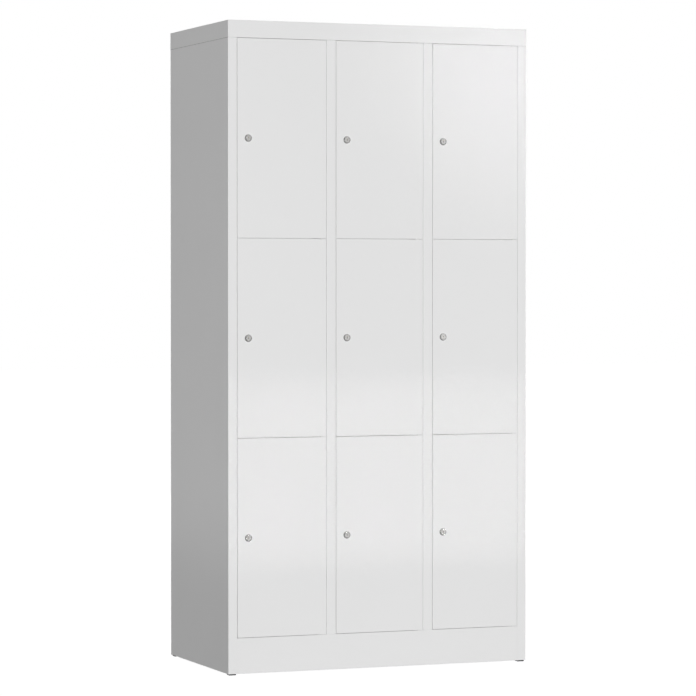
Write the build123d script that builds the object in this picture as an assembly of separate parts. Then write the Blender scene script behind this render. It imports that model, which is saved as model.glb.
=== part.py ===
from build123d import *

import math
import os

# A compartment locker in folded sheet steel: nine doors in three columns and three rows.
# Lengths are in millimetres and angles in degrees. X runs to the right, Y runs from the
# front to the back and Z runs up. The origin lies on the floor, under the middle.

# The body, without its feet
body_width = 900.0
body_depth = 500.0
body_height = 1800.0
column_names = ("left", "centre", "right")
row_names = ("lower", "middle", "upper")

# What shows on the front
stile_width = 26.0
mullion_width = 28.0
cap_height = 48.0
plinth_height = 98.5
side_gap = 1.0
row_gap = 1.2
end_gap = 0.8

# Sheet steel, the outer radius of its folds that show, and the gap at welded corners
sheet = 0.8
fold_radius = 1.0
fit = 0.2

# Doors
door_depth = 18.0
door_lip = 12.0
channel_width = 44.0
channel_crown = 26.0
channel_depth = 12.0
channel_end_gap = 1.0

# Hinges: a rod behind the right edge of each column's doors, held in notched tongues
pivot_inset = 16.0
rod_radius = 2.5
rod_clearance = 0.08
rod_depth = 4.0
tongue_thickness = 0.8
tongue_margin = 2.6
tongue_length = 56.0
swing_clearance = 0.6
notch_clearance = 2.0

# Door stops and their rubber buffers
stop_reach = 9.0
stop_lip = 20.0
buffer_thickness = 1.2
buffer_clearance = 0.3
buffer_width = 5.0
buffer_height = 12.0
buffer_offset = 60.0

# Folds of the carcass
rear_flange = 15.0
hinge_jamb_depth = 60.0
cap_flange = 15.0
sill_reach = 50.0
plinth_return = 20.0
partition_foot = 20.0
shelf_flange = 15.0

# Cam locks
lock_inset = 32.0
head_radius = 10.5
head_face_radius = 9.3
head_proud = 2.6
barrel_width = 14.5
barrel_clearance = 0.1
plug_radius = 6.0
plug_clearance = 0.05
plug_recess = 0.3
plug_shoulder = 0.2
keyway_width = 1.4
keyway_height = 6.5
keyway_depth = 4.0
tail_width = 6.0
tail_clearance = 0.05
clip_thickness = 1.2
clip_groove = 0.6
clip_clearance = 0.1
clip_rim = 5.0
cam_clearance = 0.5
cam_thickness = 2.5
cam_hub = 8.0
cam_tip = 6.0
cam_corner = 3.0
cam_past_jamb = 2.5
screw_flats = 9.0
screw_head = 3.5

# Back panel
vent_length = 160.0
vent_height = 6.0
vent_drop = 80.0
wall_hole_radius = 4.0
wall_hole_drop = 45.0

# Feet and the plates that hold them
foot_height = 4.0
foot_width = 20.0
foot_inset = 3.5
foot_chamfer = 0.8
shank_width = 8.0
shank_length = 8.0
corner_plate = 60.0
corner_plate_thickness = 2.0
corner_plate_cut = 25.0

# How far a cut runs past what it cuts
overrun = 1.0

# The faces of the body. The lock heads stand proud of the front, so the front lies
# half of that nearer to the middle and the whole object is centred on the origin.
left = -body_width / 2
right = body_width / 2
front = (head_proud - body_depth) / 2
back = front + body_depth
bottom = foot_height
top = bottom + body_height
cap_bottom = top - cap_height
floor_level = bottom + plinth_height
columns = range(len(column_names))
rows = range(len(row_names))

# The grid of openings and doors
mullion_count = len(column_names) - 1
front_between_stiles = body_width - 2 * stile_width
opening_width = (front_between_stiles - mullion_count * mullion_width) / len(column_names)
column_pitch = opening_width + mullion_width
door_width = opening_width - 2 * side_gap
opening_height = cap_bottom - floor_level
gaps_in_all = 2 * end_gap + (len(row_names) - 1) * row_gap
door_height = (opening_height - gaps_in_all) / len(row_names)
row_pitch = door_height + row_gap
tongue_clearance = (row_gap - tongue_thickness) / 2

# Depths behind the front, and the space that the hinge corner of a door swings through
stop_depth = door_depth + buffer_thickness + buffer_clearance
cap_front_flange = stop_depth + sheet
pivot_y = front + rod_depth
swing_radius = math.hypot(pivot_inset, door_depth - rod_depth)
notch_depth = rod_depth + swing_radius + swing_clearance
notch_width = side_gap + 2 * pivot_inset + notch_clearance

# Depths of the lock
channel_back = sheet + channel_depth
cam_front = stop_depth + sheet + cam_clearance
barrel_end = cam_front - plug_shoulder
tail_end = cam_front + cam_thickness
cam_reach = lock_inset + side_gap + cam_past_jamb


def opening_left(column):
    """Left edge of a column's opening."""
    return left + stile_width + column * column_pitch


def opening_right(column):
    """Right edge of a column's opening, where its doors hang."""
    return opening_left(column) + opening_width


def inner_left(column):
    """Left wall of a column's compartments, behind the stile or mullion."""
    if column == 0:
        return left + sheet
    return opening_right(column - 1) + sheet


def inner_right(column):
    """Right wall of a column's compartments."""
    if column == mullion_count:
        return right - sheet
    return opening_right(column)


def pivot_x(column):
    """Where the hinge rod of a column stands."""
    return opening_right(column) - side_gap - pivot_inset


def door_bottom(row):
    """Lower edge of a row's doors."""
    return floor_level + end_gap + row * row_pitch


def tongue_top(row):
    """Upper face of the hinge tongues under a row's doors."""
    return door_bottom(row) - tongue_clearance


def block(x_span, y_span, z_span):
    """Solid between two limits along each axis."""
    spans = (x_span, y_span, z_span)
    sizes = [high - low for low, high in spans]
    lows = [low for low, high in spans]
    return Pos(*lows) * Box(*sizes, align=(Align.MIN, Align.MIN, Align.MIN))


def folded_sheet(skin, folds, length, plane, side):
    """Sheet folded along a skin line drawn in a plane, and run out along its normal.

    The sheet lies on the given side of the skin. Each fold has an outer radius, which is
    zero where it is hidden, and is sharp inside.
    """
    points = [Vector(*point) for point in skin]
    runs = [(after - before).normalized() for before, after in zip(points, points[1:])]
    quarter_turn = 90 if side == Side.LEFT else -90
    normals = [run.rotate(Axis.Z, quarter_turn) for run in runs]
    behind = [points[0] + normals[0] * sheet]
    skin_radii = []
    behind_radii = []
    for point, run, normal, next_normal, fold in zip(points[1:], runs, normals, normals[1:], folds):
        mitre = (normal + next_normal) / (1 + normal.dot(next_normal))
        behind.append(point + mitre * sheet)
        towards_sheet = run.dot(next_normal) < 0
        skin_radii.append(fold if towards_sheet else 0)
        behind_radii.insert(0, 0 if towards_sheet else fold)
    behind.append(points[-1] + normals[-1] * sheet)
    outline = FilletPolyline(
        *points,
        *reversed(behind),
        radius=[0, *skin_radii, 0, 0, *behind_radii, 0],
        close=True,
    )
    return extrude(plane * make_face(outline.edges()), amount=length, dir=plane.z_dir)


def stop_panel(plane_x, face_width, rear_y, rear_fold, low, high):
    """Upright panel folded into a front face, a jamb and the stop that doors close on."""
    jamb_x = plane_x + face_width
    stop_y = front + stop_depth
    skin = [
        (jamb_x + stop_reach, stop_y),
        (jamb_x, stop_y),
        (jamb_x, front),
        (plane_x, front),
        (plane_x, rear_y),
        (plane_x + rear_flange, rear_y),
    ]
    folds = [0, fold_radius, fold_radius, rear_fold]
    return folded_sheet(skin, folds, high - low, Plane.XY.offset(low), Side.RIGHT)


def left_side_panel():
    """Left side with its stile. Below the floor only the flat of the stile goes on down."""
    panel = stop_panel(left, stile_width, back, fold_radius, bottom, cap_bottom)
    flat_end = left + stile_width - fold_radius
    below_floor = block(
        (flat_end, left + stile_width + stop_reach + overrun),
        (front - overrun, front + stop_depth + sheet + overrun),
        (bottom - overrun, floor_level),
    )
    return panel - below_floor


def right_side_panel():
    """Right side with its stile, which turns back into the jamb of the right column."""
    jamb_x = right - stile_width
    jamb_end = front + hinge_jamb_depth
    skin = [
        (right - sheet - fit, jamb_end),
        (jamb_x, jamb_end),
        (jamb_x, front),
        (right, front),
        (right, back),
        (right - rear_flange, back),
    ]
    folds = [0, fold_radius, fold_radius, fold_radius]
    height = cap_bottom - bottom
    panel = folded_sheet(skin, folds, height, Plane.XY.offset(bottom), Side.LEFT)
    below_floor = (bottom - overrun, floor_level)
    panel -= block(
        (jamb_x - overrun, jamb_x + fold_radius),
        (front - overrun, jamb_end + overrun),
        below_floor,
    )
    return panel - block((jamb_x, right - sheet), (front + sheet, jamb_end + overrun), below_floor)


def partition(column):
    """Wall at the right of a column. Its folded front edge is the mullion."""
    wall_x = opening_right(column)
    low = floor_level - partition_foot
    high = top - sheet
    wall = stop_panel(wall_x, mullion_width, back - 2 * sheet, 0, low, high)
    across = (wall_x - overrun, wall_x + mullion_width + stop_reach + overrun)
    above = (cap_bottom, high + overrun)
    wall -= block(across, (front - overrun, front + sill_reach + fit), (low - overrun, floor_level))
    wall -= block(across, (front - overrun, front + cap_front_flange + fit), above)
    return wall - block(across, (back - cap_flange - fit, back), above)


def top_cap():
    """Folded pan over the body, with stops for the upper doors turned down from its front."""
    pan = block((left, right), (front, back), (cap_bottom, top))
    pan = fillet(pan.edges().filter_by(Axis.Z, reverse=True), fold_radius)
    pan -= block(
        (left + sheet, right - sheet),
        (front + sheet, back - sheet),
        (cap_bottom + sheet, top - sheet),
    )
    pan -= block(
        (left + cap_flange, right - cap_flange),
        (front + cap_front_flange, back - cap_flange),
        (cap_bottom - overrun, cap_bottom + sheet + overrun),
    )
    for column in columns:
        pan += block(
            (opening_left(column) + stop_reach + fit, opening_right(column) - notch_width),
            (front + stop_depth, front + stop_depth + sheet),
            (cap_bottom - stop_lip, cap_bottom + sheet),
        )
    return pan


def plinth():
    """Fascia across the foot of the front, folded back above and below."""
    skin = [
        (front + plinth_return, bottom),
        (front, bottom),
        (front, floor_level),
        (front + sill_reach, floor_level),
    ]
    plinth_left = left + stile_width - fold_radius
    plinth_right = right - stile_width + fold_radius
    folds = [fold_radius, fold_radius]
    width = plinth_right - plinth_left
    channel = folded_sheet(skin, folds, width, Plane.YZ.offset(plinth_left), Side.RIGHT)
    plate_height = (bottom - overrun, bottom + corner_plate_thickness)
    behind_fascia = (front + sheet, front + plinth_return + overrun)
    channel -= block((left, left + corner_plate + fit), behind_fascia, plate_height)
    channel -= block((right - corner_plate - fit, right), behind_fascia, plate_height)
    return channel


def corner_notches(column):
    """Cuts at the front corners of a shelf, round the stop and clear of the swinging door."""
    height = (bottom, top)
    ahead = front - overrun
    stop_notch = block(
        (inner_left(column) - overrun, opening_left(column) + stop_reach + fit),
        (ahead, front + stop_depth + sheet + fit),
        height,
    )
    hinge_notch = block(
        (opening_right(column) - notch_width, inner_right(column) + overrun),
        (ahead, front + notch_depth),
        height,
    )
    jamb_notch = block(
        (opening_right(column), inner_right(column) + overrun),
        (ahead, front + hinge_jamb_depth + fit),
        height,
    )
    return stop_notch + hinge_notch + jamb_notch


def shelf_sheet(skin, column, side):
    """Shelf or floor of a column, run out between its walls and notched at its corners."""
    width = inner_right(column) - inner_left(column)
    plate = folded_sheet(skin, [0, 0], width, Plane.YZ.offset(inner_left(column)), side)
    if column > 0:
        plate -= block(
            (inner_left(column) - overrun, inner_left(column) + rear_flange),
            (back - 3 * sheet - fit, back),
            (bottom, top),
        )
    return plate - corner_notches(column)


def compartment_floor(column):
    """Floor of a column: a lip turned up behind the door and a flange turned down behind."""
    skin = [
        (front + stop_depth, floor_level + stop_lip),
        (front + stop_depth, floor_level),
        (back - 3 * sheet, floor_level),
        (back - 3 * sheet, floor_level - shelf_flange),
    ]
    return shelf_sheet(skin, column, Side.LEFT)


def shelf(column, row):
    """Shelf under a row, with its front lip turned down behind the doors below."""
    surface = tongue_top(row) + sheet
    skin = [
        (front + stop_depth, surface - stop_lip),
        (front + stop_depth, surface),
        (back - 2 * sheet, surface),
        (back - 2 * sheet, surface - shelf_flange),
    ]
    return shelf_sheet(skin, column, Side.RIGHT)


def back_panel():
    """Flat back inside the rear flanges, with a vent slot to each compartment and two holes
    for wall screws."""
    behind = (back - 2 * sheet, back - sheet)
    panel = block((left + sheet, right - sheet), behind, (bottom, cap_bottom))
    cut_depth = 4 * sheet
    for column in columns:
        middle = (inner_left(column) + opening_right(column)) / 2
        for row in rows:
            height = door_bottom(row) + door_height - vent_drop
            panel -= Pos(middle, back - sheet, height) * Box(vent_length, cut_depth, vent_height)
    for sign in (-1, 1):
        drill = Rot(90, 0, 0) * Cylinder(wall_hole_radius, cut_depth)
        panel -= Pos(sign * column_pitch, back - sheet, cap_bottom - wall_hole_drop) * drill
    return panel


def corners():
    """Signs of X and Y at the four corners of the base."""
    return [(x_sign, y_sign) for x_sign in (-1, 1) for y_sign in (-1, 1)]


def corner_origin(x_sign, y_sign):
    """Inner corner between a side panel and the front or back at the foot of the body."""
    x = left + sheet if x_sign < 0 else right - sheet
    y = front + sheet if y_sign < 0 else back - 2 * sheet
    return x, y


def foot_centre(x_sign, y_sign):
    """Middle of a foot, set in from the outer faces of the body."""
    inset = foot_inset + foot_width / 2
    x = x_sign * (right - inset)
    y = front + inset if y_sign < 0 else back - inset
    return x, y


def corner_plates():
    """Gussets in the corners of the base, each with a square hole for a foot."""
    plates = []
    for x_sign, y_sign in corners():
        x, y = corner_origin(x_sign, y_sign)
        reach_x = -x_sign * (corner_plate - sheet)
        reach_y = -y_sign * (corner_plate - sheet)
        cut_x = -x_sign * corner_plate_cut
        cut_y = -y_sign * corner_plate_cut
        outline = Polygon(
            (x, y),
            (x + reach_x, y),
            (x + reach_x, y + cut_y),
            (x + cut_x, y + reach_y),
            (x, y + reach_y),
        )
        hole_width = shank_width + 2 * fit
        outline -= Pos(*foot_centre(x_sign, y_sign)) * Rectangle(hole_width, hole_width)
        plates.append(
            extrude(Pos(0, 0, bottom) * outline, amount=corner_plate_thickness, dir=(0, 0, 1))
        )
    return plates


def feet():
    """Plastic glides: a pad with a chamfered sole and a square shank plugged into its plate."""
    pad = Pos(0, 0, foot_height / 2) * Box(foot_width, foot_width, foot_height)
    pad = chamfer(pad.faces().sort_by(Axis.Z)[0].edges(), foot_chamfer)
    shank = Box(shank_width, shank_width, shank_length, align=(Align.CENTER, Align.CENTER, Align.MIN))
    foot = pad + Pos(0, 0, foot_height) * shank
    return [Pos(*foot_centre(x_sign, y_sign), 0) * foot for x_sign, y_sign in corners()]


def hinge_tongues():
    """Plates under the hinge end of each door, notched round the rod.

    The lowest lie on the plinth, and the others under the shelves.
    """
    tongues = []
    notch = Rectangle(
        2 * rod_radius + fit, tongue_margin + rod_radius + fit / 2, align=(Align.CENTER, Align.MIN)
    )
    tongue_front = pivot_y - tongue_margin
    sill_length = front + notch_depth - fit - tongue_front
    for column in columns:
        tongue_left = pivot_x(column) - rod_radius - tongue_margin
        width = opening_right(column) - tongue_left
        for row in rows:
            length = tongue_length if row > 0 else sill_length
            high = tongue_top(row)
            low = high - tongue_thickness if row > 0 else floor_level
            outline = Pos(tongue_left, tongue_front) * Rectangle(
                width, length, align=(Align.MIN, Align.MIN)
            )
            outline -= Pos(pivot_x(column), tongue_front) * notch
            tongues.append(extrude(Pos(0, 0, low) * outline, amount=high - low, dir=(0, 0, 1)))
    return tongues


def hinge_rods():
    """Rods that the doors turn on, one to a column, from the plinth up to the cap."""
    length = cap_bottom - floor_level
    rod = Cylinder(rod_radius, length)
    middle = floor_level + length / 2
    return [Pos(pivot_x(column), pivot_y, middle) * rod for column in columns]


def door_buffers():
    """Rubber pads on the stops, near the top and the bottom of each door."""
    pads = []
    pad = Box(buffer_width, buffer_thickness, buffer_height)
    for column in columns:
        x = opening_left(column) + stop_reach / 2
        y = front + stop_depth - buffer_thickness / 2
        for row in rows:
            low = door_bottom(row) + buffer_offset
            high = door_bottom(row) + door_height - buffer_offset
            pads.extend(Pos(x, y, z) * pad for z in (low, high))
    return pads


def door_panel():
    """Door folded into a shallow pan with lips behind, drawn from its lower left corner."""
    pan = block((0, door_width), (front, front + door_depth), (0, door_height))
    pan -= block(
        (sheet, door_width - sheet),
        (front + sheet, front + door_depth - sheet),
        (sheet, door_height - sheet),
    )
    pan -= block(
        (door_lip, door_width - door_lip),
        (front + door_depth / 2, front + door_depth + overrun),
        (door_lip, door_height - door_lip),
    )
    rod_holes = Cylinder(rod_radius + rod_clearance, door_height + 2 * overrun)
    pan -= Pos(door_width - pivot_inset, pivot_y, door_height / 2) * rod_holes
    return pan - lock_place(0, 0) * barrel_hole(sheet)


def lock_channel():
    """Hat section up the lock side of a door. The lock's barrel passes through its crown."""
    crown = channel_crown / 2
    flange = channel_width / 2
    face = front + sheet
    skin = [
        (lock_inset - flange, face),
        (lock_inset - crown, face),
        (lock_inset - crown, front + channel_back - sheet),
        (lock_inset + crown, front + channel_back - sheet),
        (lock_inset + crown, face),
        (lock_inset + flange, face),
    ]
    low = sheet + channel_end_gap
    height = door_height - 2 * low
    channel = folded_sheet(skin, [0, 0, 0, 0], height, Plane.XY.offset(low), Side.LEFT)
    return channel - lock_place(0, 0) * barrel_hole(channel_back)


def lock_place(x, z):
    """Place of a lock on a door whose lower left corner is given.

    There X runs to the right, Y down and Z into the door, from its face.
    """
    return Plane(
        origin=(x + lock_inset, front, z + door_height / 2), x_dir=(1, 0, 0), z_dir=(0, 1, 0)
    ).location


def barrel_hole(depth):
    """Square hole for the barrel of a lock, as deep as given from the face of the door."""
    width = barrel_width + 2 * barrel_clearance
    return Box(width, width, 2 * depth + overrun)


def lock_housing():
    """Lock body: a round head that tapers to its face, and a square barrel with a clip groove."""
    taper = [
        (0, -head_proud),
        (head_face_radius, -head_proud),
        (head_radius, 0),
        (0, 0),
    ]
    body = revolve(Plane.XZ * Polygon(*taper), axis=Axis.Z)
    body += extrude(Rectangle(barrel_width, barrel_width), amount=barrel_end)
    body -= Cylinder(plug_radius + plug_clearance, 2 * (barrel_end + head_proud))
    neck = barrel_width / 2 - clip_groove
    groove = (channel_back, channel_back + clip_thickness + clip_clearance)
    for span in ((neck, barrel_width), (-barrel_width, -neck)):
        body -= block(span, (-barrel_width, barrel_width), groove)
    return body


def lock_clip():
    """Spring clip pushed down over the barrel, tight behind the channel."""
    slot = barrel_width / 2 - clip_groove + clip_clearance
    roof = -barrel_width / 2 - clip_clearance
    outline = Polygon(
        (-slot, roof),
        (slot, roof),
        (slot, barrel_width / 2),
        (slot + clip_rim, barrel_width / 2),
        (slot + clip_rim, roof - clip_rim),
        (-slot - clip_rim, roof - clip_rim),
        (-slot - clip_rim, barrel_width / 2),
        (-slot, barrel_width / 2),
    )
    return extrude(Pos(0, 0, channel_back) * outline, amount=clip_thickness, dir=(0, 0, 1))


def lock_plug():
    """Turning plug with its keyway in front and a square tail for the cam."""
    face = plug_recess - head_proud
    body = extrude(Pos(0, 0, face) * Circle(plug_radius), amount=cam_front - face)
    body += extrude(Pos(0, 0, cam_front) * Rectangle(tail_width, tail_width), amount=cam_thickness)
    keyway = Box(keyway_width, keyway_height, 2 * keyway_depth)
    return body - Pos(0, 0, face) * keyway


def lock_cam():
    """Cam that hangs down when unlocked and turns behind the stop when locked."""
    right_edge = [
        (cam_hub - cam_corner, -cam_hub),
        (cam_hub, cam_corner - cam_hub),
        (cam_hub, cam_hub),
        (cam_tip, cam_reach),
    ]
    left_edge = [(-x, y) for x, y in reversed(right_edge)]
    outline = Polygon(*right_edge, *left_edge)
    outline -= Rectangle(tail_width + 2 * tail_clearance, tail_width + 2 * tail_clearance)
    return extrude(Pos(0, 0, cam_front) * outline, amount=cam_thickness, dir=(0, 0, 1))


def cam_screw():
    """Hexagon head of the screw that holds the cam on the tail."""
    hexagon = RegularPolygon(screw_flats / 2, 6, major_radius=False)
    return extrude(Pos(0, 0, tail_end) * hexagon, amount=screw_head)


def write(name, *shapes):
    """Write one node, with every solid of the given shapes."""
    solids = [solid for shape in shapes for solid in shape.solids()]
    node = solids[0] if len(solids) == 1 else Compound(solids)
    export_step(node, f"parts/{name}.step")


os.makedirs("parts", exist_ok=True)

write("top_cap", top_cap())
write("left_side_panel", left_side_panel())
write("right_side_panel", right_side_panel())
write("left_partition", partition(0))
write("right_partition", partition(1))
write("plinth", plinth())
write("back_panel", back_panel())
write("compartment_floors", *[compartment_floor(column) for column in columns])
write("lower_shelves", *[shelf(column, 1) for column in columns])
write("upper_shelves", *[shelf(column, 2) for column in columns])
write("hinge_tongues", *hinge_tongues())
write("hinge_rods", *hinge_rods())
write("door_buffers", *door_buffers())
write("corner_plates", *corner_plates())
write("feet", *feet())

# Every door and every lock is the same piece, placed nine times
panel = door_panel()
channel = lock_channel()
housing = lock_housing()
clip = lock_clip()
plug = lock_plug()
cam = lock_cam()
screw = cam_screw()
for column, column_name in enumerate(column_names):
    for row, row_name in enumerate(row_names):
        door_x = opening_left(column) + side_gap
        door_z = door_bottom(row)
        door_place = Pos(door_x, 0, door_z)
        lock = lock_place(door_x, door_z)
        where = f"{row_name}_{column_name}"
        write(f"door_panel_{where}", door_place * panel)
        write(f"lock_channel_{where}", door_place * channel, lock * housing)
        write(f"lock_clip_{where}", lock * clip)
        write(f"lock_plug_{where}", lock * plug)
        write(f"lock_cam_{where}", lock * cam, lock * screw)
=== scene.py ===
import math

import bmesh
import bpy
from mathutils import Matrix, Vector


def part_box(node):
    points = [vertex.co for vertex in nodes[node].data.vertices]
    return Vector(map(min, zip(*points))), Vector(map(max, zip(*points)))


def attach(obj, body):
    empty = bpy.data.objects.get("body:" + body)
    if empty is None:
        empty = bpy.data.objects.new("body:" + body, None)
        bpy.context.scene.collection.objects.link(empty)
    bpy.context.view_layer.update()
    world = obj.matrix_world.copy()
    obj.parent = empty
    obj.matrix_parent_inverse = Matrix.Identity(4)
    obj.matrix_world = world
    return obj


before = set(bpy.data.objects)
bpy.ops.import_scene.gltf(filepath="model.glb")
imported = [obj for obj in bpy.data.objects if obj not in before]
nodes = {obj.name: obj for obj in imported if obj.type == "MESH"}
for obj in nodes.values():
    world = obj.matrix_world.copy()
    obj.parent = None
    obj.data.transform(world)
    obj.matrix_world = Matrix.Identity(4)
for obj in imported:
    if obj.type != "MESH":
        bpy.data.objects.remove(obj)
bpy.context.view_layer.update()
scene = bpy.context.scene

COLUMNS = ("left", "centre", "right")
ROWS = ("lower", "middle", "upper")
LOCKERS = [f"{row}_{column}" for row in ROWS for column in COLUMNS]

# The camera, fitted to the photograph: its place, its turn, and how far it looks down
CAMERA_PLACE = (-3.2947, -8.3089, 1.0736)
CAMERA_TURN = 21.646
CAMERA_PITCH = 1.0

# Its lens: focal length, size and centre of the picture in pixels, sensor in mm, reach in metres
FOCAL_PIXELS = 3108.9
PICTURE_PIXELS = 696
CENTRE_PIXELS = 340.1
SENSOR = 36.0
SIGHT = 200.0


def lock_axis(where):
    """Point where the axis of a lock meets the front of its door, in metres."""
    low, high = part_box(f"lock_plug_{where}")
    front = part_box(f"door_panel_{where}")[0].y
    return Vector(((low.x + high.x) / 2, front, (low.z + high.z) / 2))


# Shader helpers

BEVEL_SAMPLES = 6


def add(tree, kind, inputs=None, **settings):
    """Add a shader node, set its properties, and set or link its inputs."""
    made = tree.nodes.new(kind)
    for key, value in settings.items():
        setattr(made, key, value)
    for key, value in (inputs or {}).items():
        if isinstance(value, bpy.types.NodeSocket):
            tree.links.new(value, made.inputs[key])
        else:
            made.inputs[key].default_value = value
    return made


def calculate(tree, operation, *values):
    """One step of arithmetic between sockets and numbers."""
    return add(tree, "ShaderNodeMath", dict(enumerate(values)), operation=operation).outputs[0]


def nearest(tree, value, pitch):
    """How far a value lies from the nearest multiple of a pitch, above it or below it."""
    return calculate(tree, "WRAP", value, pitch / 2, -pitch / 2)


def object_place(tree):
    """Coordinates in the object's own frame, in metres."""
    return add(tree, "ShaderNodeTexCoord").outputs["Object"]


def apart(tree, vector):
    """The three coordinates of a vector, each by itself."""
    parts = add(tree, "ShaderNodeSeparateXYZ", {"Vector": vector}).outputs
    return parts["X"], parts["Y"], parts["Z"]


def length(tree, vector):
    """Length of a vector."""
    return add(tree, "ShaderNodeVectorMath", {0: vector}, operation="LENGTH").outputs["Value"]


def noise(tree, place, scale, detail=2.0, roughness=0.5):
    """Noise between 0 and 1 at a scale in cycles per metre."""
    inputs = {"Vector": place, "Scale": scale, "Detail": detail, "Roughness": roughness}
    return add(tree, "ShaderNodeTexNoise", inputs).outputs["Fac"]


def remapped(tree, value, first, last, low=0.0, high=1.0, curve="LINEAR"):
    """A value that runs from first to last, carried over to run from low to high."""
    inputs = {
        "Value": value,
        "From Min": first,
        "From Max": last,
        "To Min": low,
        "To Max": high,
    }
    return add(tree, "ShaderNodeMapRange", inputs, interpolation_type=curve).outputs["Result"]


def spread(tree, value, low, high):
    """A value from 0 to 1, spread between two limits."""
    return remapped(tree, value, 0.0, 1.0, low, high)


def between(tree, factor, first, second):
    """Colour between two plain colours."""
    ramp = add(tree, "ShaderNodeValToRGB", {"Fac": factor})
    ramp.color_ramp.elements[0].color = (*first, 1.0)
    ramp.color_ramp.elements[1].color = (*second, 1.0)
    return ramp.outputs["Color"]


def mixed(tree, factor, first, second):
    """Colour between two colours, each of them plain or a socket."""
    pair = [c if isinstance(c, bpy.types.NodeSocket) else (*c, 1.0) for c in (first, second)]
    inputs = {0: factor, 6: pair[0], 7: pair[1]}
    return add(tree, "ShaderNodeMix", inputs, data_type="RGBA").outputs[2]


def surface(name):
    """New material with its node tree and its shader."""
    material = bpy.data.materials.new(name)
    material.use_nodes = True
    tree = material.node_tree
    return material, tree, tree.nodes["Principled BSDF"]


def join(tree, shader, **sockets):
    """Link sockets to the inputs of a shader. Underscores in the names stand for spaces."""
    for name, socket in sockets.items():
        tree.links.new(socket, shader.inputs[name.replace("_", " ")])


def output_of(tree):
    """The socket that shows a material's surface."""
    return tree.nodes["Material Output"].inputs["Surface"]


def bumped(tree, height, distance, strength, edge_radius):
    """Normal of a bumped surface whose edges look rounded."""
    rounded = add(tree, "ShaderNodeBevel", {"Radius": edge_radius}, samples=BEVEL_SAMPLES)
    inputs = {
        "Height": height,
        "Distance": distance,
        "Strength": strength,
        "Normal": rounded.outputs[0],
    }
    return add(tree, "ShaderNodeBump", inputs).outputs["Normal"]


# Powder coat: colour, roughness, and how fine its clouds, orange peel and grain are, per metre

PAINT = (0.845, 0.845, 0.845)
PAINT_SHADE = (0.825, 0.825, 0.825)
PAINT_ROUGHNESS = (0.36, 0.44)
PAINT_IOR = 1.47
DRIFT_SCALE = 2.5
GLOSS_SCALE = 9.0
PEEL_SCALE = 420.0
GRAIN_SCALE = 2600.0
GRAIN_SHARE = 0.25
PEEL_DEPTH = 0.00006
PEEL_STRENGTH = 0.35

# How far the coat rounds the edges under it
PANEL_EDGE = 0.0008
DOOR_EDGE = 0.0012
CHANNEL_EDGE = 0.0004

# Spot welds: down both flanges of a lock channel, and down the rear flanges of the side panels.
# A skin is how deep a face may lie under the outermost plane and still count as the outside.
WELD_RADIUS = 0.0028
WELD_DEPTH = 6.0
CHANNEL_WELD_LINE = 0.0175
CHANNEL_WELD_PITCH = 0.060
REAR_WELD_LINE = 0.4425
REAR_WELD_PITCH = 0.080
FLANGE_SKIN = 0.0006

# The hairline joint under the cap, drawn as painted shade of its groove with dust in it: on the
# sides, and on the stiles and mullions beside the doors
FOLD_SKIN = 0.0011
SIDE_JOINT_HALF = 0.0006
FRONT_JOINT_HALF = 0.00015
MULLION_PITCH = 0.292
MULLION_HALF = 0.014
JOINT_SHADE_AND_DUST = (0.36, 0.36, 0.36)


def paint_surface(tree, shader, edge_radius, dimples=None, joint=None):
    """Satin powder coat: fine orange peel, and colour and gloss that drift a little."""
    place = object_place(tree)
    peel = noise(tree, place, PEEL_SCALE)
    grain = noise(tree, place, GRAIN_SCALE, detail=1.0)
    height = calculate(tree, "MULTIPLY_ADD", grain, GRAIN_SHARE, peel)
    if dimples:
        height = calculate(tree, "SUBTRACT", height, dimples)
    colour = between(tree, noise(tree, place, DRIFT_SCALE, detail=3.0), PAINT_SHADE, PAINT)
    if joint:
        # The joint's painted shade and dust darken the coat along it.
        colour = mixed(tree, joint, colour, JOINT_SHADE_AND_DUST)
    gloss = noise(tree, place, GLOSS_SCALE, detail=4.0)
    join(
        tree,
        shader,
        Base_Color=colour,
        Roughness=spread(tree, gloss, *PAINT_ROUGHNESS),
        Normal=bumped(tree, height, PEEL_DEPTH, PEEL_STRENGTH, edge_radius),
    )
    shader.inputs["IOR"].default_value = PAINT_IOR


def weld_dimples(tree, off_line, up, pitch):
    """Spot welds along an upright line, as depths in units of the orange peel's."""
    along = nearest(tree, up, pitch)
    flat = add(tree, "ShaderNodeCombineXYZ", {"X": off_line, "Z": along}).outputs[0]
    distance = length(tree, flat)
    rim_light_and_shade, floor = WELD_RADIUS, WELD_RADIUS / 2
    return remapped(tree, distance, rim_light_and_shade, floor, high=WELD_DEPTH, curve="SMOOTHSTEP")


def cap_joint(tree, x, y, z):
    """Where the hairline joint between the cap and the panels under it shows, as painted shade and
    dust.
    """
    low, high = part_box("left_side_panel")
    on_side = calculate(tree, "GREATER_THAN", calculate(tree, "ABSOLUTE", x), -low.x - FOLD_SKIN)
    on_front = calculate(tree, "LESS_THAN", y, low.y + FOLD_SKIN)

    off_mullion = calculate(tree, "SUBTRACT", x, MULLION_PITCH / 2)
    off_mullion = calculate(tree, "ABSOLUTE", nearest(tree, off_mullion, MULLION_PITCH))
    on_mullion = calculate(tree, "LESS_THAN", off_mullion, MULLION_HALF)
    on_mullion = calculate(tree, "MULTIPLY", on_front, on_mullion)

    off_joint = calculate(tree, "ABSOLUTE", calculate(tree, "SUBTRACT", z, high.z))
    side_joint = calculate(tree, "LESS_THAN", off_joint, SIDE_JOINT_HALF)
    side_joint = calculate(tree, "MULTIPLY", on_side, side_joint)
    front_joint = calculate(tree, "LESS_THAN", off_joint, FRONT_JOINT_HALF)
    front_joint = calculate(tree, "MULTIPLY", on_mullion, front_joint)
    return calculate(tree, "MAXIMUM", side_joint, front_joint)


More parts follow.
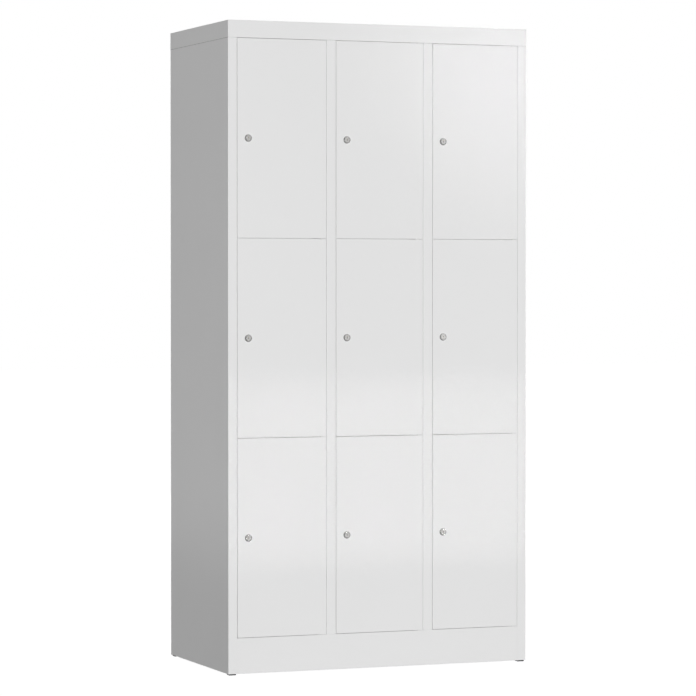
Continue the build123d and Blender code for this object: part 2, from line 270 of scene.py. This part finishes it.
def panel_coat():
    """Powder coat with the painted shade and dust of the joint under the cap, and the spot welds of
    the rear flanges.
    """
    material, tree, shader = surface("white_powder_coat")
    x, y, z = apart(tree, object_place(tree))
    off_line = calculate(tree, "SUBTRACT", calculate(tree, "ABSOLUTE", x), REAR_WELD_LINE)
    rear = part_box("left_side_panel")[1].y
    on_flange = calculate(tree, "GREATER_THAN", y, rear - FLANGE_SKIN)
    welds = weld_dimples(tree, off_line, z, REAR_WELD_PITCH)
    dimples = calculate(tree, "MULTIPLY", welds, on_flange)
    paint_surface(tree, shader, PANEL_EDGE, dimples, cap_joint(tree, x, y, z))
    return material


def door_coat():
    """Powder coat on the doors, whose folds are rounder."""
    material, tree, shader = surface("white_powder_coat_doors")
    paint_surface(tree, shader, DOOR_EDGE)
    return material


# Dimensions of the lock, in metres. The keyway's start and end lie this far behind the plug's face.
HEAD_WIDTH = 0.021
HEAD_SKIN = 0.00001
INNER_LIP = 0.0073
HALF_BARREL = 0.00726
KEYWAY_START = 0.0002
KEYWAY_END = 0.0045

# Nickel: the darker and the lighter colour on flat faces, on the rim, darkened as painted shade,
# and on the rim's top, lightened as a painted highlight
NICKEL = ((0.335, 0.332, 0.326), (0.41, 0.407, 0.40))
NICKEL_RIM_SHADED = ((0.15, 0.149, 0.145), (0.21, 0.209, 0.204))
NICKEL_RIM_HIGHLIT = ((0.36, 0.358, 0.352), (0.45, 0.447, 0.44))
KEYWAY_PAINTED_SHADE = (0.03, 0.029, 0.028)
PLUG_ROUGHNESS = (0.25, 0.37)
HOUSING_ROUGHNESS = (0.21, 0.33)

# Marks on the lock: clouds from handling and rings from turning, per metre
HANDLING_SCALE = 260.0
RING_SCALE = 5200.0
RING_DEPTH = 0.00002
RING_STRENGTH = 0.5
LOCK_EDGE = 0.00025

# How much painted highlight the rim's foot and its right side get, against its top, and where that
# starts
HIGHLIGHT_AT_FOOT = 0.45
HIGHLIGHT_AT_RIGHT = 0.15
HIGHLIGHT_FROM = 0.1


def lock_place(tree):
    """Across and up from the axis of the nearest lock, the depth Y, and distance from the axis."""
    first = lock_axis("lower_left")
    last = lock_axis("upper_right")
    x, depth, z = apart(tree, object_place(tree))
    x = calculate(tree, "SUBTRACT", x, first.x)
    z = calculate(tree, "SUBTRACT", z, first.z)
    across = nearest(tree, x, (last.x - first.x) / (len(COLUMNS) - 1))
    up = nearest(tree, z, (last.z - first.z) / (len(ROWS) - 1))
    flat = add(tree, "ShaderNodeCombineXYZ", {"X": across, "Z": up}).outputs[0]
    return across, up, depth, length(tree, flat)


def handling_cloud(tree):
    """Faint clouds from handling."""
    return noise(tree, object_place(tree), HANDLING_SCALE, detail=4.0)


def turned_metal(tree, shader, colour, roughness):
    """Plated metal with fine rings from turning round the lock's axis, and handling marks."""
    distance = lock_place(tree)[3]
    inputs = {"W": distance, "Scale": RING_SCALE, "Detail": 1.0}
    rings = add(tree, "ShaderNodeTexNoise", inputs, noise_dimensions="1D").outputs["Fac"]
    join(
        tree,
        shader,
        Base_Color=colour,
        Roughness=spread(tree, handling_cloud(tree), *roughness),
        Normal=bumped(tree, rings, RING_DEPTH, RING_STRENGTH, LOCK_EDGE),
    )
    shader.inputs["Metallic"].default_value = 1.0


def lock_face():
    """Nickel on the turning plug, with painted shade down in its keyway."""
    material, tree, shader = surface("nickel_plug")
    depth = lock_place(tree)[2]
    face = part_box("lock_plug_lower_left")[0].y
    behind_face = calculate(tree, "GREATER_THAN", depth, face + KEYWAY_START)
    before_end = calculate(tree, "LESS_THAN", depth, face + KEYWAY_END)
    in_keyway = calculate(tree, "MULTIPLY", behind_face, before_end)
    nickel = between(tree, handling_cloud(tree), *NICKEL)
    # Near-black painted shade on the keyway's walls, where shade falls in the recess.
    turned_metal(tree, shader, mixed(tree, in_keyway, nickel, KEYWAY_PAINTED_SHADE), PLUG_ROUGHNESS)
    return material


def housing_and_channel():
    """Nickel on the lock housing and powder coat on the channel that carries it.

    The rim of the head carries painted shade, lightened by a painted highlight along its top and
    less so at its foot and right side; its inner lip keeps the plain nickel.
    """
    material, tree, shader = surface("nickel_housing_painted_channel")
    across, up, depth, distance = lock_place(tree)
    cloud = handling_cloud(tree)
    # Painted highlight and shade on the rim: lightest along its top, lighter at its foot and right
    # side, darkest at its left.
    painted_highlight = calculate(tree, "MAXIMUM", up, calculate(tree, "MULTIPLY", up, -HIGHLIGHT_AT_FOOT))
    painted_highlight = calculate(tree, "MULTIPLY_ADD", across, HIGHLIGHT_AT_RIGHT, painted_highlight)
    painted_highlight = calculate(tree, "DIVIDE", painted_highlight, HEAD_WIDTH / 2)
    painted_highlight = remapped(tree, painted_highlight, HIGHLIGHT_FROM, 1.0)
    shaded_rim, highlit_rim = between(tree, cloud, *NICKEL_RIM_SHADED), between(tree, cloud, *NICKEL_RIM_HIGHLIT)
    rim_light_and_shade = mixed(tree, painted_highlight, shaded_rim, highlit_rim)
    in_lip = calculate(tree, "LESS_THAN", distance, INNER_LIP)
    nickel = mixed(tree, in_lip, rim_light_and_shade, between(tree, cloud, *NICKEL))
    turned_metal(tree, shader, nickel, HOUSING_ROUGHNESS)

    painted = add(tree, "ShaderNodeBsdfPrincipled")
    width = calculate(tree, "ABSOLUTE", across)
    off_line = calculate(tree, "SUBTRACT", width, CHANNEL_WELD_LINE)
    welds = weld_dimples(tree, off_line, up, CHANNEL_WELD_PITCH)
    paint_surface(tree, painted, CHANNEL_EDGE, welds)
    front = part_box("door_panel_lower_left")[0].y
    in_head = calculate(tree, "LESS_THAN", depth, front + HEAD_SKIN)
    square = calculate(tree, "MAXIMUM", width, calculate(tree, "ABSOLUTE", up))
    in_barrel = calculate(tree, "LESS_THAN", square, HALF_BARREL)
    metal = calculate(tree, "MAXIMUM", in_head, in_barrel)
    inputs = {0: metal, 1: painted.outputs[0], 2: shader.outputs[0]}
    mix = add(tree, "ShaderNodeMixShader", inputs)
    tree.links.new(mix.outputs[0], output_of(tree))
    return material


# Zinc, plastic, rubber and brass


def grained_material(
    name, colours, clouds, roughness, gloss, grain, depth, strength, edge_radius, metallic=0.0
):
    """Material with clouded colour and gloss, a fine grain and eased edges.

    Clouds, gloss and grain are settings for a noise.
    """
    material, tree, shader = surface(name)
    place = object_place(tree)
    height = noise(tree, place, **grain)
    join(
        tree,
        shader,
        Base_Color=between(tree, noise(tree, place, **clouds), *colours),
        Roughness=spread(tree, noise(tree, place, **gloss), *roughness),
        Normal=bumped(tree, height, depth, strength, edge_radius),
    )
    shader.inputs["Metallic"].default_value = metallic
    return material


def zinc_plate():
    """Bright zinc with a faint bluish and yellowish cast."""
    return grained_material(
        "zinc_plate",
        colours=((0.50, 0.52, 0.56), (0.64, 0.63, 0.58)),
        clouds={"scale": 90.0, "detail": 4.0, "roughness": 0.6},
        roughness=(0.28, 0.42),
        gloss={"scale": 400.0},
        grain={"scale": 1500.0},
        depth=0.00002,
        strength=0.5,
        edge_radius=0.0003,
        metallic=1.0,
    )


def black_plastic():
    """Moulded black plastic with a fine spark-eroded grain."""
    return grained_material(
        "black_plastic_foot",
        colours=((0.010, 0.010, 0.011), (0.020, 0.020, 0.021)),
        clouds={"scale": 60.0},
        roughness=(0.45, 0.62),
        gloss={"scale": 300.0},
        grain={"scale": 3200.0, "detail": 3.0},
        depth=0.00005,
        strength=0.6,
        edge_radius=0.0006,
    )


def grey_rubber():
    """Matt rubber, slightly dusty."""
    return grained_material(
        "grey_rubber_buffer",
        colours=((0.045, 0.045, 0.046), (0.075, 0.075, 0.074)),
        clouds={"scale": 120.0, "detail": 4.0},
        roughness=(0.7, 0.9),
        gloss={"scale": 500.0},
        grain={"scale": 2200.0},
        depth=0.00004,
        strength=0.5,
        edge_radius=0.0006,
    )


TARNISHED_BRASS = (0.30, 0.21, 0.09)
BRIGHT_BRASS = (0.52, 0.38, 0.17)
BRASS_ROUGHNESS = (0.32, 0.5)
TARNISH_SCALE = 900.0


def brass():
    """Brass, a little tarnished."""
    material, tree, shader = surface("brass_wafer")
    cloud = noise(tree, object_place(tree), TARNISH_SCALE, detail=3.0)
    join(
        tree,
        shader,
        Base_Color=between(tree, cloud, TARNISHED_BRASS, BRIGHT_BRASS),
        Roughness=spread(tree, cloud, *BRASS_ROUGHNESS),
    )
    shader.inputs["Metallic"].default_value = 1.0
    return material


# What each CAD node wears

PAINTED_NODES = (
    "top_cap", "left_side_panel", "right_side_panel", "left_partition", "right_partition",
    "plinth", "back_panel", "compartment_floors", "lower_shelves", "upper_shelves",
    "hinge_tongues",
)
ZINC_NODES = ("hinge_rods", "corner_plates")


def dress(node, material):
    """Give a CAD node a material."""
    for material_slot in nodes[node].material_slots:
        material_slot.material = material


panel_paint = panel_coat()
door_paint = door_coat()
zinc = zinc_plate()
housing = housing_and_channel()
plug = lock_face()

for node in PAINTED_NODES:
    dress(node, panel_paint)
for node in ZINC_NODES:
    dress(node, zinc)
dress("feet", black_plastic())
dress("door_buffers", grey_rubber())
for where in LOCKERS:
    dress(f"door_panel_{where}", door_paint)
    dress(f"lock_channel_{where}", housing)
    dress(f"lock_clip_{where}", zinc)
    dress(f"lock_plug_{where}", plug)
    dress(f"lock_cam_{where}", zinc)


# Wafers that show in the keyways

WAFER_THICKNESS = 0.0005
WAFER_WIDTH = 0.0012
WAFER_EDGE = WAFER_THICKNESS / 5
KEYWAY_HALF = 0.00325

# For each wafer: how deep it lies, whether it comes from above (1) or below (-1), and its reach
WAFER_STEPS = (
    (0.0009, 1, 0.0014),
    (0.0017, -1, 0.0010),
    (0.0025, 1, 0.0018),
    (0.0033, -1, 0.0013),
)


def make_wafers(where, material):
    """Thin plates that stand into the keyway from above and below, each with an eased edge."""
    shape = bmesh.new()
    centre = lock_axis(where)
    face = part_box(f"lock_plug_{where}")[0].y
    for depth, side, reach in WAFER_STEPS:
        up = side * (KEYWAY_HALF - reach / 2)
        middle = Vector((centre.x, face + depth, centre.z + up))
        size = Matrix.Diagonal((WAFER_WIDTH, WAFER_THICKNESS, reach, 1.0))
        plate = bmesh.ops.create_cube(shape, size=1.0, matrix=Matrix.Translation(middle) @ size)
        edges = list({edge for vert in plate["verts"] for edge in vert.link_edges})
        bmesh.ops.bevel(shape, geom=edges, offset=WAFER_EDGE, segments=1, affect="EDGES")
    mesh = bpy.data.meshes.new(f"keyway_wafers_{where}")
    shape.to_mesh(mesh)
    shape.free()
    mesh.materials.append(material)
    wafers = bpy.data.objects.new(mesh.name, mesh)
    scene.collection.objects.link(wafers)
    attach(wafers, f"lock_{where}")


brass_plate = brass()
for where in LOCKERS:
    make_wafers(where, brass_plate)


# Studio. The floor shows a trace of grey near the locker and fades to white further off.

FLOOR_SIZE = 60.0
FLOOR_TINT = (0.22, 0.22, 0.22)
FLOOR_ROUGHNESS = 0.9
FLOOR_SHOWN = 0.965
FADE_START = 2.0
FADE_END = 5.0
WORLD_STRENGTH = 0.035

# Key and fill light the front. Side wash, front band and corner glow throw the soft patches that
# the photograph shows on the left side, over the lower rows and in the upper right corner. The
# last three lamps light the sides that it doesn't show.
# For each lamp: name, place, point that it is aimed at, width and height, watts, spread in degrees
LAMPS = (
    ("key", (-6.78, -18.92, 1.3), (0.0, 0.0, 0.9), (1.2, 0.8), 2960.0, 180.0),
    ("fill", (5.0, -6.0, 1.0), (0.0, 0.0, 0.9), (3.0, 2.0), 80.0, 180.0),
    ("side_wash", (-3.5, 0.0, 1.27), (-0.45, 0.0, 1.27), (1.0, 1.9), 0.45, 8.0),
    ("front_band", (1.75, -3.2, 0.556), (0.0, -0.25, 0.556), (1.7, 0.50), 0.17, 2.4),
    ("corner_glow", (1.0, -3.4, 0.35), (0.45, -0.25, 1.80), (0.25, 0.25), 0.24, 19.0),
    ("back_light", (2.5, 7.0, 1.0), (0.0, 0.25, 0.9), (1.5, 1.5), 60.0, 100.0),
    ("right_light", (6.5, 2.5, 1.0), (0.45, 0.0, 0.9), (1.5, 1.5), 45.0, 100.0),
    ("top_light", (0.0, 0.5, 4.2), (0.0, 0.05, 1.8), (0.85, 0.9), 4.2, 70.0),
)


def seen_or_mirrored(tree):
    """1 for what the camera sees straight, mirrored or through glass, and 0 for other light."""
    path = add(tree, "ShaderNodeLightPath").outputs
    seen = calculate(tree, "MAXIMUM", path["Is Camera Ray"], path["Is Glossy Ray"])
    return calculate(tree, "MAXIMUM", seen, path["Is Transmission Ray"])


def floor_material():
    """Diffuse floor that adds white of its own where it is seen or mirrored."""
    material, tree, shader = surface("studio_floor")
    shader.inputs["Roughness"].default_value = FLOOR_ROUGHNESS
    shader.inputs["Specular IOR Level"].default_value = 0.0
    shader.inputs["Base Color"].default_value = (*FLOOR_TINT, 1.0)
    away = length(tree, object_place(tree))
    shown = remapped(tree, away, FADE_START, FADE_END, low=FLOOR_SHOWN)
    strength = calculate(tree, "MULTIPLY", seen_or_mirrored(tree), shown)
    glow = add(tree, "ShaderNodeEmission", {"Strength": strength})
    both = add(tree, "ShaderNodeAddShader", {0: shader.outputs[0], 1: glow.outputs[0]})
    tree.links.new(both.outputs[0], output_of(tree))
    return material


def make_floor():
    mesh = bpy.data.meshes.new("studio_floor")
    half = FLOOR_SIZE / 2
    corners = [(-half, -half, 0), (half, -half, 0), (half, half, 0), (-half, half, 0)]
    mesh.from_pydata(corners, [], [(0, 1, 2, 3)])
    floor = bpy.data.objects.new("studio_floor", mesh)
    scene.collection.objects.link(floor)
    mesh.materials.append(floor_material())


def make_world():
    """World that is white where it is seen or mirrored, and lights faintly from all round."""
    world = bpy.data.worlds.new("studio")
    scene.world = world
    world.use_nodes = True
    tree = world.node_tree
    background = tree.nodes["Background"]
    background.inputs["Color"].default_value = (1.0, 1.0, 1.0, 1.0)
    strength = spread(tree, seen_or_mirrored(tree), WORLD_STRENGTH, 1.0)
    tree.links.new(strength, background.inputs["Strength"])


def make_lamp(name, place, aim, size, watts, spread_angle):
    """Rectangular soft lamp, aimed at a point. A narrow spread throws a patch with soft edges."""
    data = bpy.data.lights.new(name, "AREA")
    data.shape = "RECTANGLE"
    data.size, data.size_y = size
    data.energy = watts
    data.spread = math.radians(spread_angle)
    lamp = bpy.data.objects.new(name, data)
    scene.collection.objects.link(lamp)
    lamp.location = place
    lamp.rotation_euler = (Vector(aim) - Vector(place)).to_track_quat("-Z", "Y").to_euler()


def make_camera():
    data = bpy.data.cameras.new("camera")
    data.sensor_width = SENSOR
    data.lens = FOCAL_PIXELS * SENSOR / PICTURE_PIXELS
    data.shift_y = (CENTRE_PIXELS - PICTURE_PIXELS / 2) / PICTURE_PIXELS
    data.clip_end = SIGHT
    camera = bpy.data.objects.new("camera", data)
    scene.collection.objects.link(camera)
    camera.location = CAMERA_PLACE
    camera.rotation_euler = (math.radians(90 - CAMERA_PITCH), 0, math.radians(-CAMERA_TURN))
    scene.camera = camera


make_floor()
make_world()
make_camera()
for lamp in LAMPS:
    make_lamp(*lamp)
scene.view_settings.view_transform = "Standard"
